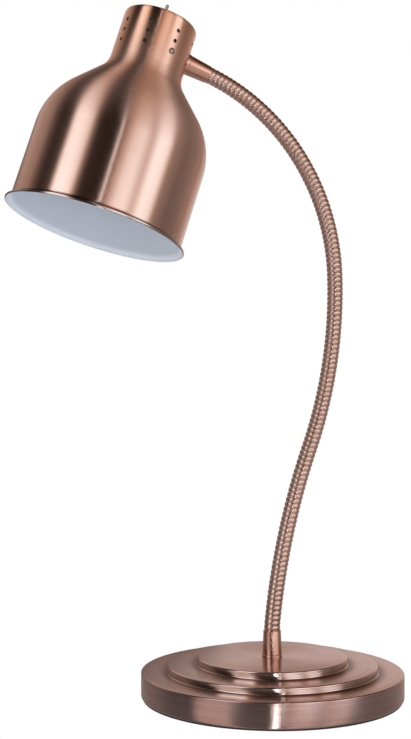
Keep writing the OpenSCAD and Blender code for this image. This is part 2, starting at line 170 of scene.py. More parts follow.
# %% Shader helper
class Sock:
    """A socket that can be used in a formula."""

    def __init__(self, tree, out):
        self.tree, self.out = tree, out

    def math(self, operation, other=None):
        n = self.tree.nodes.new("ShaderNodeMath")
        n.operation = operation
        feed(self.tree, n.inputs[0], self)
        if other is not None:
            feed(self.tree, n.inputs[1], other)
        return Sock(self.tree, n.outputs[0])

    def __add__(self, o):
        return self.math("ADD", o)

    __radd__ = __add__

    def __mul__(self, o):
        return self.math("MULTIPLY", o)

    __rmul__ = __mul__

    def __sub__(self, o):
        return self.math("SUBTRACT", o)

    def __rsub__(self, o):
        return (self * -1) + o

    def __truediv__(self, o):
        return self.math("DIVIDE", o)

    def between(self, low=0.0, high=1.0):
        """The value held between two limits."""
        return self.math("MAXIMUM", low).math("MINIMUM", high)


def feed(tree, socket, value):
    if isinstance(value, Sock):
        tree.links.new(value.out, socket)
    else:
        socket.default_value = value


def make_node(tree, kind, settings=None, out=0, **inputs):
    """A node with its settings, then values or links for its sockets by name or number."""
    n = tree.nodes.new(kind)
    for key, value in (settings or {}).items():
        if key == "stops":
            ramp = n.color_ramp
            while len(ramp.elements) < len(value):
                ramp.elements.new(0.5)
            for element, (at, colour) in zip(ramp.elements, value):
                element.position = at
                element.color = colour
        else:
            setattr(n, key, value)
    for key, value in inputs.items():
        socket = n.inputs[int(key[1:])] if key[0] == "_" else n.inputs[key.replace("_", " ")]
        feed(tree, socket, value)
    return Sock(tree, n.outputs[out])


def mix_colour(tree, factor, a, b, blend="MIX"):
    n = tree.nodes.new("ShaderNodeMix")
    n.data_type = "RGBA"
    n.blend_type = blend
    feed(tree, n.inputs[0], factor)
    for socket, value in ((n.inputs[6], a), (n.inputs[7], b)):
        feed(tree, socket, value if isinstance(value, Sock) else (*value, 1))
    return Sock(tree, n.outputs[2])


def mix_number(tree, factor, a, b):
    return make_node(tree, "ShaderNodeMix", {"data_type": "FLOAT"}, _0=factor, _2=a, _3=b)


def new_material(name, **fixed):
    """A material with one Principled shader, its uniform values set on its own sockets."""
    material = bpy.data.materials.new(name)
    material.use_nodes = True
    shader = material.node_tree.nodes["Principled BSDF"]
    for key, value in fixed.items():
        shader.inputs[key.replace("_", " ")].default_value = value
    return material, material.node_tree, shader


def object_point(tree):
    n = tree.nodes.new("ShaderNodeTexCoord")
    return Sock(tree, n.outputs["Object"])


def turn_to_axis(tree, point, place):
    """The point seen from a turned piece's own axis: radius and height, in mm."""
    inverse = (Matrix.Scale(MM, 4) @ place).inverted()
    rows = []
    for i in range(3):
        axis = make_node(tree, "ShaderNodeVectorMath", {"operation": "DOT_PRODUCT"}, out=1,
                         _0=point, _1=tuple(inverse[i][:3]))
        rows.append(axis + inverse[i][3])
    x, y, z = rows
    radius = (x * x + y * y).math("SQRT")
    return x, y, z, radius


def noise(tree, vector, scale, detail=3.0):
    settings = {"noise_dimensions": "3D"}
    return make_node(tree, "ShaderNodeTexNoise", settings, Vector=vector, Scale=scale, Detail=detail)


def vector(tree, x, y, z):
    return make_node(tree, "ShaderNodeCombineXYZ", X=x, Y=y, Z=z)


BUMP_DEPTH = 0.0002


def bump(tree, height, strength, **more):
    return make_node(tree, "ShaderNodeBump", Strength=strength, Distance=BUMP_DEPTH, Height=height, **more)


# %% [markdown]
# ## Brushed copper
# The cover, the shade and the hose are plated with copper and brushed on a lathe, so fine lines
# run round the axis. The lines are a noise stretched along the turning direction: it reads only
# radius and height. A slow, wide noise lets the plating drift a little in tone, as it does.
# The colour also carries painted light: a lighter neck on the shade, painted shade out from the foot of
# each step of the base and just above the rim, and a painted highlight on each step wall.

# %% Copper finishes
def groove_normal(tree, axis, lean):
    """Normal leaned towards the plane square to the turning axis, as the walls of turned grooves."""
    normal = Sock(tree, tree.nodes.new("ShaderNodeNewGeometry").outputs["Normal"])
    settings = {"vector_type": "VECTOR", "convert_from": "OBJECT", "convert_to": "WORLD"}
    along = make_node(tree, "ShaderNodeVectorTransform", settings, Vector=tuple(axis))
    part = make_node(tree, "ShaderNodeVectorMath", {"operation": "DOT_PRODUCT"}, out=1, _0=normal, _1=along)
    taken = tree.nodes.new("ShaderNodeVectorMath")
    taken.operation = "SCALE"
    feed(tree, taken.inputs[0], along)
    feed(tree, taken.inputs["Scale"], part * lean)
    rest = make_node(tree, "ShaderNodeVectorMath", {"operation": "SUBTRACT"},
                     _0=normal, _1=Sock(tree, taken.outputs[0]))
    return make_node(tree, "ShaderNodeVectorMath", {"operation": "NORMALIZE"}, _0=rest)


# The first tone is the dark brown of painted shade, the second the light tone of a painted highlight, the
# third bare steel.
PAINTED_SHADE_TONE, HIGHLIGHT_TINT, STEEL = (0.16, 0.08, 0.06), (0.92, 0.76, 0.70), (0.58, 0.56, 0.56)


def copper(name, tint, deep, rough, place=None, lines=1.0, painted_neck_light=None, lean=None, matt=None, painted_foot_shade=(),
           polish_and_highlight=(), painted_line_and_bare=None, **fixed):
    """Brushed copper, turned about the axis of place, between two tones.

    lines: strength of the brush lines. painted_neck_light: heights between which a lighter tone
    comes in, and its factor; this is painted light, the brighter reflections of the shade's neck
    put into its colour. lean: how far the normal leans square to the axis. matt: middle height,
    reach and amount of a matter zone. painted_foot_shade: radius of each wall and how far out from
    its foot a painted shade darkens the step top. polish_and_highlight: radius and reach of each
    wall ring that is made smoother, a real polish, and painted lighter, a painted highlight.
    painted_line_and_bare: height and reach of a dark line round the piece, a painted shade, below
    which the plating has gone from the edge.
    """
    material, tree, shader = new_material(name, Metallic=1.0, **fixed)
    place = place or Matrix.Identity(4)
    point = object_point(tree)
    x, y, z, radius = turn_to_axis(tree, point, place)
    brush = noise(tree, vector(tree, radius, z, 0.0), 2.2, 2.0)
    fine = noise(tree, vector(tree, radius, z, x * 0.02), 7.0, 3.0)
    streak = noise(tree, vector(tree, radius, z, x * 0.004), 0.55, 2.0)
    cloud = noise(tree, point, 9.0, 3.0)

    tone = (cloud - 0.5) * 0.9 + (brush - 0.5) * 0.35 * lines + (streak - 0.5) * 0.7 * lines + 0.3
    colour = mix_colour(tree, tone.between(), tint, deep)
    # Painted light: between these heights the neck's colour is made lighter, standing in for its brighter
    # reflections.
    if painted_neck_light is not None:
        low, high, light_factor = painted_neck_light
        rise = ((z - low) / (high - low)).between()
        colour = mix_colour(tree, rise, colour, mix_colour(tree, 1.0, colour, light_factor, "MULTIPLY"))
    sheen = rough + (brush - 0.5) * 0.08 * lines + (streak - 0.5) * 0.06 * lines + (cloud - 0.5) * 0.04
    # Painted shade: the step top is darkened out from the foot of each wall, standing in for the dark
    # reflection of the wall; it is also made rougher.
    for ring, reach in painted_foot_shade:
        out = radius - ring
        depth = (1 - out / reach).between(0.0, 0.75) * out.math("GREATER_THAN", 0.2)
        colour = mix_colour(tree, depth, colour, PAINTED_SHADE_TONE)
        sheen = sheen + depth * 0.25
    # Painted highlight: each step wall is coloured lighter; its lower roughness is a real polish.
    for ring, reach in polish_and_highlight:
        shine = (1 - (radius - ring).math("ABSOLUTE") / reach).between()
        colour = mix_colour(tree, shine, colour, HIGHLIGHT_TINT)
        sheen = mix_number(tree, shine, sheen, 0.09)
    # Painted shade: a dark line round the flare above the bead; below it the colour turns to bare steel at
    # the edge.
    if painted_line_and_bare is not None:
        line = (1 - (z - painted_line_and_bare[0]).math("ABSOLUTE") / painted_line_and_bare[1]).between(0.0, 0.9)
        colour = mix_colour(tree, line, colour, PAINTED_SHADE_TONE)
        bare = (painted_line_and_bare[0] - painted_line_and_bare[1] * 0.5 - z).between(0.0, 0.75)
        colour = mix_colour(tree, bare, colour, STEEL)
    feed(tree, shader.inputs["Base Color"], colour)
    if matt is not None:
        middle, reach, amount = matt
        off = (z - middle) / reach
        sheen = sheen + (1 - off * off).math("MAXIMUM", 0.0) * amount
    feed(tree, shader.inputs["Roughness"], sheen)

    relief = {"Normal": groove_normal(tree, place.to_3x3() @ Vector((0, 0, 1)), lean)} if lean else {}
    feed(tree, shader.inputs["Normal"], bump(tree, brush * 0.6 + fine * 0.4, 0.06 * lines, **relief))
    return material


SPUN = copper("brushed copper of the shade", (0.82, 0.58, 0.49), (0.74, 0.49, 0.40), 0.15, HEAD,
              lines=0.5, painted_neck_light=(140.0, 185.0, (1.2, 1.07, 0.95)), lean=0.82, matt=(148.0, 66.0, 0.16),
              painted_line_and_bare=(3.7, 1.9))
BASE_COPPER = copper("brushed copper of the base", (0.78, 0.575, 0.53), (0.58, 0.405, 0.37), 0.2, lines=2.0,
                     painted_foot_shade=((STEP2_R, 12.0), (STEP3_R, 12.0)), polish_and_highlight=((STEP2_R, 1.2), (STEP3_R, 1.2)),
                     Anisotropic=0.9, Anisotropic_Rotation=0.25)
HOSE_COPPER = copper("copper of the hose", (0.94, 0.70, 0.60), (0.84, 0.60, 0.50), 0.32, lines=0.12)
FERRULE_COPPER = copper("polished copper of the ferrules", (0.96, 0.62, 0.49), (0.88, 0.52, 0.40), 0.27,
                        lines=0.5)
print("copper finishes:", SPUN.name, BASE_COPPER.name, HOSE_COPPER.name, FERRULE_COPPER.name)

# %% [markdown]
# ## The other finishes
# Inside the shade is a coat of white enamel, glossy and slightly wavy. The foot is black rubber,
# the switch is chromed, and the parts that hide in the neck are ceramic, brass and zinc steel.

# %% Plain finishes
def simple(name, tint, deep, rough, metallic=0.0, scale=60.0, relief=0.05, spread=0.12, **fixed):
    material, tree, shader = new_material(name, Metallic=metallic, **fixed)
    point = object_point(tree)
    grain = noise(tree, point, scale, 4.0)
    wear = noise(tree, point, scale * 0.12, 2.0)
    feed(tree, shader.inputs["Base Color"], mix_colour(tree, grain * 0.5 + wear * 0.5, tint, deep))
    feed(tree, shader.inputs["Roughness"], rough + (wear - 0.5) * spread)
    feed(tree, shader.inputs["Normal"], bump(tree, grain, relief))
    return material


ENAMEL = simple("white enamel", (0.80, 0.81, 0.84), (0.74, 0.76, 0.80), 0.32, scale=25.0, relief=0.03,
                Coat_Weight=0.3)
RUBBER = simple("black rubber", (0.018, 0.018, 0.018), (0.03, 0.03, 0.03), 0.75, scale=900.0, relief=0.35)
CHROME = simple("chrome", (0.62, 0.62, 0.64), (0.55, 0.55, 0.58), 0.12, metallic=1.0, scale=300.0)
ZINC = simple("zinc-plated steel", (0.62, 0.62, 0.63), (0.48, 0.49, 0.52), 0.36, metallic=1.0, scale=220.0)
BRASS = simple("turned brass", (0.80, 0.62, 0.30), (0.70, 0.52, 0.24), 0.28, metallic=1.0, scale=300.0)
CERAMIC = simple("glazed ceramic", (0.86, 0.84, 0.79), (0.80, 0.78, 0.73), 0.22, scale=120.0)
IRON = simple("dipped cast iron", (0.05, 0.05, 0.055), (0.025, 0.025, 0.03), 0.6, scale=500.0, relief=0.5)
BLACK_PLASTIC = simple("moulded switch case", (0.03, 0.03, 0.032), (0.045, 0.045, 0.05), 0.45, scale=700.0,
                       relief=0.2)
SLEEVE = simple("woven glass sleeve", (0.80, 0.79, 0.75), (0.66, 0.64, 0.60), 0.8, scale=1800.0, relief=0.5)
SILVER = simple("silvered reflector glass", (0.82, 0.83, 0.85), (0.72, 0.73, 0.76), 0.16, metallic=1.0,
                scale=90.0)
CAP_METAL = simple("rolled cap metal", (0.78, 0.77, 0.74), (0.66, 0.65, 0.62), 0.3, metallic=1.0,
                   scale=260.0)
FROST = simple("frosted lens glass", (0.86, 0.87, 0.88), (0.80, 0.81, 0.83), 0.35, scale=1400.0,
               relief=0.25, Transmission_Weight=0.35, Coat_Weight=0.4)
print("plain finishes made")

# %% [markdown]
# ## The spun base cover
# The cover is pressed and spun from sheet: a skirt, then three steps. Each step has a rounded
# edge and a small hollow at its foot, and those curves catch the light, so they get their own
# points in the profile. The shell has its sheet thickness and is open below.

# %% Base cover
def base_profile():
    # The radius of the edges, the radius of the hollows, and the sheet.
    e, f, t = 1.2, 1.4, COVER_T
    outside = [(BASE_R - 1.0, FOOT_T), (BASE_R - 0.25, FOOT_T + 0.9), (BASE_R, FOOT_T + 2.2)]
    outside += [(BASE_R, 12.0)]
    for r, z, nxt in ((BASE_R, STEP1_Z, STEP2_R), (STEP2_R, STEP2_Z, STEP3_R)):
        outside += arc(r - e, z - e, e, 0, 90, 8)
        outside += [((r + nxt) / 2, z)]
        outside += arc(nxt + f, z + f, f, 270, 180, 8)
    outside += arc(STEP3_R - e, STEP3_Z - e, e, 0, 90, 8)
    outside += [(50.0, STEP3_Z), (25.0, STEP3_Z), (5.4, STEP3_Z)]
    inside = [(5.4, STEP3_Z - t), (STEP3_R - t, STEP3_Z - t), (STEP3_R - t, STEP2_Z - t),
              (STEP2_R - t, STEP2_Z - t), (STEP2_R - t, STEP1_Z - t), (BASE_R - t, STEP1_Z - t),
              (BASE_R - t, FOOT_T)]
    return outside + inside


cover_mesh = turned_mesh("base_cover_skin", base_profile(), 224, loop=True)
base_cover = add_piece("base_cover_skin", cover_mesh, BASE_COPPER)
print("base cover faces:", len(cover_mesh.polygons))

# %% [markdown]
# The lead enters through a hole at the back of the skirt. A cutter is subtracted there, and the
# result is kept as a plain mesh, so nothing live is left on the piece.

# %% Cut the inlet
def cut(piece, cutter_mesh):
    cutter = add_piece("cutter", cutter_mesh)
    modifier = piece.modifiers.new("cut", "BOOLEAN")
    modifier.operation, modifier.solver, modifier.object = "DIFFERENCE", "EXACT", cutter
    bpy.context.view_layer.update()
    result = bpy.data.meshes.new_from_object(piece.evaluated_get(bpy.context.evaluated_depsgraph_get()))
    piece.modifiers.clear()
    old = piece.data
    piece.data = result
    result.name = piece.name
    bpy.data.objects.remove(cutter)
    bpy.data.meshes.remove(old)
    result.set_sharp_from_angle(angle=math.radians(32))


def rod(bm, radius, start, end, sides=32):
    """Adds a closed round rod between two points, in mm."""
    axis = Vector(end) - Vector(start)
    turn = axis.to_track_quat("Z", "Y").to_matrix().to_4x4()
    place = Matrix.Translation((Vector(start) + Vector(end)) / 2) @ turn
    bmesh.ops.create_cone(bm, cap_ends=True, segments=sides, radius1=radius, radius2=radius,
                          depth=axis.length, matrix=place)


def rods_mesh(name, rods, place=None):
    bm = bmesh.new()
    for radius, start, end in rods:
        rod(bm, radius, start, end)
    bm.transform(Matrix.Scale(MM, 4) @ (place or Matrix.Identity(4)))
    mesh = bpy.data.meshes.new(name)
    bm.to_mesh(mesh)
    bm.free()
    return mesh


INLET_R, INLET_Z = 6.0, 11.6
inlet = (INLET_R, (BASE_R - 8, 0, INLET_Z), (BASE_R + 4, 0, INLET_Z))
cut(base_cover, rods_mesh("inlet_cut", [inlet]))
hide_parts("base_cover")
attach(base_cover, "base")
print("inlet cut, faces:", len(base_cover.data.polygons))

# %% [markdown]
# ## The bell shade
# The bell is spun in one piece: a flared rim, an upright wall, a round shoulder, a hollow throat
# and a neck with a flat top. The outer skin is copper and the inner one enamel, so the faces
# behind the rim take a second material.

# %% Shade
def shade_profile():
    # The wall, the slope between shoulder and throat, and the radii of shoulder, throat and crown.
    t, slope, rs, rt, crown = SHADE_T, 43.0, 72.0, 25.0, 4.0
    a = math.radians(slope)
    z3 = SHADE_H - NECK_L
    r1, r2 = SHADE_R - rs * (1 - math.cos(a)), NECK_R + rt * (1 - math.cos(a))
    z0 = z3 - rt * math.sin(a) - (r1 - r2) / math.tan(a) - rs * math.sin(a)
    bead, flare = 1.3, RIM_R - SHADE_R - 1
    low = 2 * bead + flare
    edge = arc(RIM_R - bead, bead, bead, 180, 460, 20)
    outside = arc(SHADE_R + flare, low, flare, 250, 180, 12) + [(SHADE_R, 30.0), (SHADE_R, 60.0)]
    outside += arc(SHADE_R - rs, z0, rs, 0, slope, 26)
    outside += arc(NECK_R + rt, z3, rt, 180 + slope, 180, 18)
    outside += [(NECK_R, 192.0), (NECK_R, 205.0)]
    outside += arc(NECK_R - crown, SHADE_H - crown, crown, 0, 90, 10)
    outside += [(20.0, SHADE_H), (3.1, SHADE_H)]
    inside = [(3.1, SHADE_H - t), (20.0, SHADE_H - t)]
    inside += arc(NECK_R - crown, SHADE_H - crown, crown - t, 90, 0, 6)
    inside += arc(NECK_R + rt, z3, rt + t, 180, 180 + slope, 16)
    inside += arc(SHADE_R - rs, z0, rs - t, slope, 0, 22)
    inside += [(SHADE_R - t, 50.0)] + arc(SHADE_R + flare, low, flare + t, 180, 235, 10)
    # The loop starts at the lowest point of the bead, where copper gives way to enamel.
    split = 7
    return edge[split:] + outside + inside + edge[:split], len(edge) - split + len(outside) - 1


profile, first_inside = shade_profile()
shade_mesh = turned_mesh("shade_skin", profile, 256, loop=True, place=HEAD, inside_from=first_inside)
shade = add_piece("shade_skin", shade_mesh, SPUN, ENAMEL)
print("shade faces:", len(shade_mesh.polygons))

# %% [markdown]
# Three rows of vent holes run round the neck, in columns an eighth of a turn apart. The column
# that would meet the ferrule is left out, and the ferrule has a hole of its own.

# %% Cut the vents
VENT_TURN, VENT_ROWS, VENT_R = -77.5, (15.8, 26.6, 37.4), 2.0
vents = []
for row in VENT_ROWS:
    for i in range(8):
        if i == 2:
            continue
        w = math.radians(VENT_TURN + 45 * i)
        out = Vector((math.cos(w), math.sin(w), 0))
        height = Vector((0, 0, SHADE_H - row))
        vents.append((VENT_R, out * (NECK_R - 5) + height, out * (NECK_R + 5) + height))
vents.append((5.2, (NECK_R - 6, 0, FERRULE_H), (NECK_R + 6, 0, FERRULE_H)))
cut(shade, rods_mesh("vent_cut", vents, HEAD))
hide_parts("shade")
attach(shade, "head")
print("holes cut:", len(vents), "faces:", len(shade.data.polygons))

# %% [markdown]
# ## The ferrules
# A plain turned ferrule takes each end of the hose: a small collar against the metal it stands
# on, and a barrel that tapers to the hose's width, with a rounded edge.

# %% Ferrules
def ferrule_profile(foot, tip=FERRULE_TIP):
    r, l = FERRULE_R, FERRULE_L
    points = [(5.2, foot), (r + 0.5, foot)]
    points += arc(r - 0.55, 1.15, 1.15, 0, 62, 6)
    points += [(r, 2.8), (r + (tip - r) * 0.5, l * 0.5)]
    points += arc(tip - 1.1, l - 1.1, 1.1, 0, 80, 7)
    points += [(tip - 1.1, l), (5.4, l), (5.4, l - 8.0), (5.2, l - 8.4)]
    return points


lower_place = Matrix.Translation((0, 0, STEP3_Z))
lower_mesh = turned_mesh("lower_ferrule_skin", ferrule_profile(0.0), 96, loop=True, place=lower_place)
lower = add_piece("lower_ferrule_skin", lower_mesh, FERRULE_COPPER)
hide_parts("lower_ferrule")
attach(lower, "base")

side_on = HEAD @ Matrix.Translation((0, 0, FERRULE_H)) @ Matrix.Rotation(math.radians(90), 4, "Y")
upper_place = side_on @ Matrix.Translation((0, 0, NECK_R))
upper_mesh = turned_mesh("upper_ferrule_skin", ferrule_profile(-2.0, 8.7), 96, loop=True, place=upper_place)
upper = add_piece("upper_ferrule_skin", upper_mesh, FERRULE_COPPER)
neck_core = rods_mesh("neck_core", [(NECK_R + 0.02, (0, 0, FERRULE_H - 30), (0, 0, FERRULE_H + 26))], HEAD)
cut(upper, neck_core)
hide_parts("upper_ferrule")
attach(upper, "head")
print("ferrules made")

# %% [markdown]
# ## The ribbed hose
# The gooseneck is a hose of rounded ribs, one after another along a curve: a job for Geometry
# Nodes. The tree takes a plain curve, resamples it finely, swells its radius by a rule that
# repeats once a rib, and sweeps a circle along it. A Solidify modifier then gives it a wall.

# %% Rib tree
RINGS_A_RIB = 12


def rib_tree():
    tree = bpy.data.node_groups.new("ribbed hose", "GeometryNodeTree")
    face = tree.interface
    face.new_socket("Geometry", in_out="INPUT", socket_type="NodeSocketGeometry")
    lengths = {"Rib pitch": PITCH * MM, "Crest radius": HOSE_R * MM, "Groove radius": GROOVE_R * MM}
    for name, value in lengths.items():
        face.new_socket(name, in_out="INPUT", socket_type="NodeSocketFloat").default_value = value
    for name, value in (("Rings", RIBS * RINGS_A_RIB + 1), ("Sides", 32)):
        face.new_socket(name, in_out="INPUT", socket_type="NodeSocketInt").default_value = value
    face.new_socket("Material", in_out="INPUT", socket_type="NodeSocketMaterial")
    face.new_socket("Geometry", in_out="OUTPUT", socket_type="NodeSocketGeometry")
    add, link = tree.nodes.new, tree.links.new
    given, result = add("NodeGroupInput"), add("NodeGroupOutput")
    fine, swell = add("GeometryNodeResampleCurve"), add("GeometryNodeSetCurveRadius")
    length = add("GeometryNodeSplineParameter")
    link(given.outputs["Geometry"], fine.inputs["Curve"])
    link(given.outputs["Rings"], fine.inputs["Count"])

    def step(operation, *values):
        n = add("ShaderNodeMath")
        n.operation = operation
        for socket, value in zip(n.inputs, values):
            if isinstance(value, (int, float)):
                socket.default_value = value
            else:
                link(value, socket)
        return n.outputs[0]

    phase = step("DIVIDE", length.outputs["Length"], given.outputs["Rib pitch"])
    form = step("ABSOLUTE", step("SINE", step("MULTIPLY", phase, math.pi)))
    depth = step("SUBTRACT", given.outputs["Crest radius"], given.outputs["Groove radius"])
    rise = step("MULTIPLY", form, depth)
    radius = step("ADD", rise, given.outputs["Groove radius"])
    link(fine.outputs[0], swell.inputs["Curve"])
    link(radius, swell.inputs["Radius"])
    circle = add("GeometryNodeCurvePrimitiveCircle")
    circle.inputs["Radius"].default_value = 1.0
    link(given.outputs["Sides"], circle.inputs["Resolution"])
    sweep, real = add("GeometryNodeCurveToMesh"), add("GeometryNodeRealizeInstances")
    smooth, paint = add("GeometryNodeSetShadeSmooth"), add("GeometryNodeSetMaterial")
    link(swell.outputs[0], sweep.inputs["Curve"])
    link(circle.outputs[0], sweep.inputs["Profile Curve"])
    if "Scale" in sweep.inputs:
        field = add("GeometryNodeInputRadius")
        link(field.outputs[0], sweep.inputs["Scale"])
    link(sweep.outputs[0], smooth.inputs["Geometry"])
    link(smooth.outputs[0], real.inputs["Geometry"])
    link(real.outputs[0], paint.inputs["Geometry"])
    link(given.outputs["Material"], paint.inputs["Material"])
    link(paint.outputs[0], result.inputs["Geometry"])
    return tree


RIB_TREE = rib_tree()
print("rib tree nodes:", len(RIB_TREE.nodes))

# %% [markdown]
# The hose is cut into ten lengths at the middle of each rigid stretch. The first goes with the base
# and the last with the head. Each length between crosses one joint; the ends of each are listed
# with their two bodies, the head's side first for the one at the head.

# %% Hose lengths
HOSE_WALL = 2.2


def hose_length(name, start, end):
    points = max(int((end - start) / 2.0), 8)
    curve = bpy.data.curves.new(name, "CURVE")
    curve.dimensions = "3D"
    spline = curve.splines.new("POLY")
    spline.points.add(points)
    for i in range(points + 1):
        p, _ = spot(start + (end - start) * i / points)
        spline.points[i].co = (*(p * MM), 1)
    source = bpy.data.objects.new(name + "_curve", curve)
    bpy.context.scene.collection.objects.link(source)
    modifier = source.modifiers.new("ribs", "NODES")
    modifier.node_group = RIB_TREE
    sockets = {s.name: s.identifier for s in RIB_TREE.interface.items_tree if s.in_out == "INPUT"}
    modifier[sockets["Rings"]] = round((end - start) / PITCH * RINGS_A_RIB) + 1
    modifier[sockets["Rib pitch"]] = PITCH * MM
    modifier[sockets["Material"]] = HOSE_COPPER
    bpy.context.view_layer.update()
    mesh = bpy.data.meshes.new_from_object(source.evaluated_get(bpy.context.evaluated_depsgraph_get()))
    mesh.name = name
    bpy.data.objects.remove(source)
    skin = bpy.data.objects.new(name, mesh)
    bpy.context.scene.collection.objects.link(skin)
    wall = skin.modifiers.new("wall", "SOLIDIFY")
    wall.thickness, wall.offset = HOSE_WALL * MM, -1.0
    bpy.context.view_layer.update()
    solid = bpy.data.meshes.new_from_object(skin.evaluated_get(bpy.context.evaluated_depsgraph_get()))
    skin.modifiers.clear()
    skin.data = solid
    solid.name = name
    solid.set_sharp_from_angle(angle=math.radians(30))
    return skin


bodies = ["base"] + [f"stretch_{k}" for k in range(2, STRETCHES)] + ["head"]
stretch = HOSE_L / STRETCHES
middles = [stretch * (k + 0.5) for k in range(STRETCHES)]
first = hose_length("hose_length_0", 0.0, middles[0])
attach(first, bodies[0])
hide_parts("hose_1")
for k in range(1, STRETCHES):
    a, b = middles[k - 1], middles[k]
    piece = hose_length(f"hose_length_{k}", a, b)
    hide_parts(f"hose_{k}", f"hose_{k + 1}")
    ends = [(bodies[k - 1], tuple(spot(a)[0] * MM)), (bodies[k], tuple(spot(b)[0] * MM))]
    if bodies[k] == "head":
        ends.reverse()
    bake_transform(piece)
last = hose_length(f"hose_length_{STRETCHES}", middles[-1], HOSE_L)
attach(last, "head")
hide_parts(f"hose_{STRETCHES}")
print("hose lengths made:", STRETCHES + 1, "faces in one:", len(last.data.polygons))

# %% [markdown]
# ## The toggle switch on top
# A small bat-handled toggle stands in the middle of the neck's top: a threaded bush, a hexagonal
# nut and a lever with a swollen tip, all chromed.

# %% Switch
BUSH_H, LEVER_L, LEAN = 7.0, 11.0, 12.0


def bush_profile():
    low = SHADE_H - SHADE_T - 1.2
    points = [(2.26, low), (4.0, low), (4.0, SHADE_H - SHADE_T), (3.0, SHADE_H - SHADE_T),
              (3.0, SHADE_H + 0.2)]
    turns = 12
    for i in range(turns):
        z = SHADE_H + 0.3 + (BUSH_H - 1.0) * i / turns
        points += [(3.0, z), (2.78, z + 0.25)]
    return points + [(2.95, SHADE_H + BUSH_H - 0.5), (2.7, SHADE_H + BUSH_H), (2.26, SHADE_H + BUSH_H)]


bush_mesh = turned_mesh("toggle_bush_skin", bush_profile(), 48, loop=True, place=HEAD)
bush = add_piece("toggle_bush_skin", bush_mesh, CHROME)
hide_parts("toggle_bush")
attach(bush, "head")
pivot = Matrix.Translation((0, 0, SHADE_H + BUSH_H - 4)) @ Matrix.Rotation(math.radians(LEAN), 4, "X")
top = LEVER_L + 4
lever_profile = ([(0, -2.1)] + arc(0, 0, 2.15, -70, 55, 10)
                 + [(1.1, 2.4), (1.1, 4.5), (1.25, 8.0), (1.6, top - 3.0)]
                 + arc(0, top - 1.75, 1.75, 0, 80, 8) + [(0, top)])
lever_mesh = turned_mesh("toggle_lever_skin", lever_profile, 40, place=HEAD @ pivot)
lever = add_piece("toggle_lever_skin", lever_mesh, CHROME)
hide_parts("toggle_lever")
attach(lever, "lever")
print("switch made")

# %% [markdown]
# ## Screws in the neck
# Two pan-head screws go through the lowest row of vents into the strap that carries the
# lampholder. Their domed heads have a cross recess, cut from a turned head.

# %% Screws
def screw_head(name, place):
    shank_and_rim = [(0, -4.4), (1.45, -4.4), (1.45, 0), (2.9, 0.0), (2.9, 0.5)]
    dome = arc(0, -2.4, 4.2, 43, 88, 8) + [(0, 1.8)]
    head = add_piece(name, turned_mesh(name, shank_and_rim + dome, 40, place=place), ZINC)
    slot_size = Matrix.Diagonal((2.6, 0.55, 1.8, 1))
    for turn in (45, 135):
        bm = bmesh.new()
        aside = Matrix.Translation((0, 0, 1.9)) @ Matrix.Rotation(math.radians(turn), 4, "Z")
        bmesh.ops.create_cube(bm, size=1.0, matrix=aside @ slot_size)
        bm.transform(Matrix.Scale(MM, 4) @ place)
        slot = bpy.data.meshes.new("slot")
        bm.to_mesh(slot)
        bm.free()
        cut(head, slot)
    return head


for i, side in enumerate((0, 180)):
    column = HEAD @ Matrix.Rotation(math.radians(VENT_TURN + side), 4, "Z")
    lowest = Matrix.Translation((0, 0, SHADE_H - VENT_ROWS[2])) @ Matrix.Rotation(math.radians(90), 4, "Y")
    place = column @ lowest @ Matrix.Translation((0, 0, NECK_R + 0.05))
    screw = screw_head(f"strap_screw_{i}", place)
    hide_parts("strap_screws")
    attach(screw, "head")
print("screws made")

# %% [markdown]
# ## The bulb
# A pressed-glass reflector bulb sits deep in the bell. Its sides are silvered, its face is a
# frosted lens with a fine prismatic dimple, and its screw cap goes up into the lampholder.

# %% Bulb
BULB_R, BULB_L = 60.5, 136.0
FACE_H = HOLDER_TOP - 4.0 - 1.6 - BULB_L


def bulb_profile():
    f, b = FACE_H, BULB_R
    lens = [(b * 0.92 * i / 18, f + 5 * (i / 18) ** 2) for i in range(19)]
    rim = [(b - 2.0, f + 6.4), (b - 0.5, f + 8.2), (b, f + 10.0), (b, f + 14.5), (b - 1.0, f + 17.0),
           (b - 3.4, f + 20.0)]
    cone = [(53.5, f + 28), (50, f + 33.5), (44.5, f + 43), (39, f + 52.4), (34, f + 62), (29.2, f + 72),
            (25, f + 81.5), (21.5, f + 90.0), (18.6, f + 97.0), (16.5, f + 101.0), (12.0, f + 104.0)]
    inner = [(10.0, f + 102), (14.5, f + 99), (19.5, f + 88.5), (27, f + 71), (37, f + 51), (48, f + 32),
             (56, f + 19), (58.3, f + 14)]
    back = [((b * 0.9 - 1) * i / 18, f + 2.4 + 5 * (i / 18) ** 2) for i in range(18, -1, -1)]
    return lens + rim + cone + inner + back, len(lens) + 3


bulb_points, silver_from = bulb_profile()
bulb_mesh = turned_mesh("bulb_glass_skin", bulb_points, 128, place=HEAD, inside_from=silver_from)
bulb = add_piece("bulb_glass_skin", bulb_mesh, FROST, SILVER)
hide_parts("bulb_glass")
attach(bulb, "head")
print("bulb face", round(FACE_H, 1), "mm above the mouth")

# %% [markdown]
# ## Finishes on the CAD nodes
# The pieces whose CAD shape is already right keep it and only get their finish.

